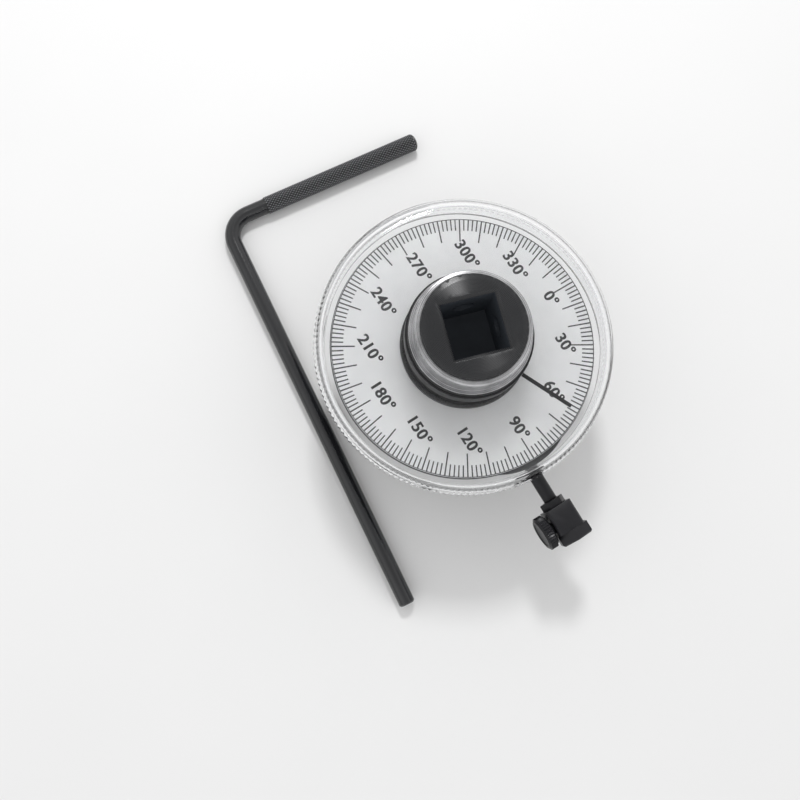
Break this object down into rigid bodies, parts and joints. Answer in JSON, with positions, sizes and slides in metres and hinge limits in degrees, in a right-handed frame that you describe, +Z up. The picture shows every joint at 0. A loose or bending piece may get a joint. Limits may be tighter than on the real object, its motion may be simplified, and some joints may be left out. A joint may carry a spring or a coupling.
{
  "type": "torque angle gauge",
  "caption": "Square drive gauge for tightening by angle: spindle with male and female square, printed degree dial, clear turning cover with pointer, and an arm whose clamp takes an L-shaped stop rod.",
  "frame": {"origin": "centre of the male square's end face", "axes": "+Z up the drive axis, from the male square to the square socket; +Y towards the dial's 0 mark; +X towards its 90 mark, along the clamp's arm"},
  "size_m": [0.1197, 0.08, 0.0486],
  "materials": {
    "black_steel": "black oxide with a thin film of oil",
    "bright_steel": "turned and plated bright",
    "spring_steel": "phosphated spring steel",
    "printed_aluminium": "satin silver with black print",
    "clear_plastic": "clear polished acrylic",
    "black_plastic": "moulded black plastic",
    "black_print": "black printing ink and paint filling",
    "rubber": "moulded rubber",
    "washer_plastic": "black low-friction plastic",
    "bronze": "sintered bronze",
    "brass": "turned brass"
  },
  "bodies": {
    "spindle": {"drive_spindle": "black_steel", "bright_collar": "bright_steel", "cover_washer": "washer_plastic", "friction_ring": "rubber", "retaining_ring": "spring_steel", "lower_washer": "washer_plastic", "upper_washer": "washer_plastic", "detent_spring": "spring_steel"},
    "cover": {"clear_cover": "clear_plastic", "cover_boss": "black_plastic", "pointer_line": "black_print"},
    "dial": {"dial_base": "black_steel", "arm_collar": "black_steel", "collar_screws": "bright_steel", "dial_plate": "printed_aluminium", "base_bush": "bronze", "arm_neck": "black_steel", "neck_nut": "black_steel", "clamp_block": "black_steel"},
    "pad": {"pressure_pad": "brass"},
    "screw": {"thumb_screw": "black_steel"},
    "ball": {"detent_ball": "bright_steel"},
    "rod": {"stop_rod": "black_steel"}
  },
  "joints": [
    {"name": "cover_turn", "type": "hinge", "parent": "spindle", "child": "cover", "pos_m": [0, 0, 0.0355], "axis": [0, 0, 1], "continuous": true},
    {"name": "dial_turn", "type": "hinge", "parent": "spindle", "child": "dial", "pos_m": [0, 0, 0.0235], "axis": [0, 0, 1], "continuous": true},
    {"name": "pad_travel", "type": "slide", "parent": "dial", "child": "pad", "axis": [0, 1, 0], "range_m": [-0.0005, 0.0001]},
    {"name": "screw_turn", "type": "hinge", "parent": "pad", "child": "screw", "pos_m": [0.0485, -0.0035, 0.02], "axis": [0, 1, 0], "range_deg": [-361, 73]},
    {"name": "ball_press", "type": "slide", "parent": "spindle", "child": "ball", "axis": [-0.9593, 0.2823, 0], "range_m": [0, 0.0008], "stiffness_N_per_m": 1500, "springref_m": -0.002, "deforming": ["detent_spring"]},
    {"name": "rod_out", "type": "slide", "parent": "spindle", "child": "rod", "axis": [0, -1, 0], "range_m": [0, 0.08]}
  ],
  "couplings": [
    {"joint": "screw_turn", "follows": "pad_travel", "rad_per_m": 12566}
  ]
}
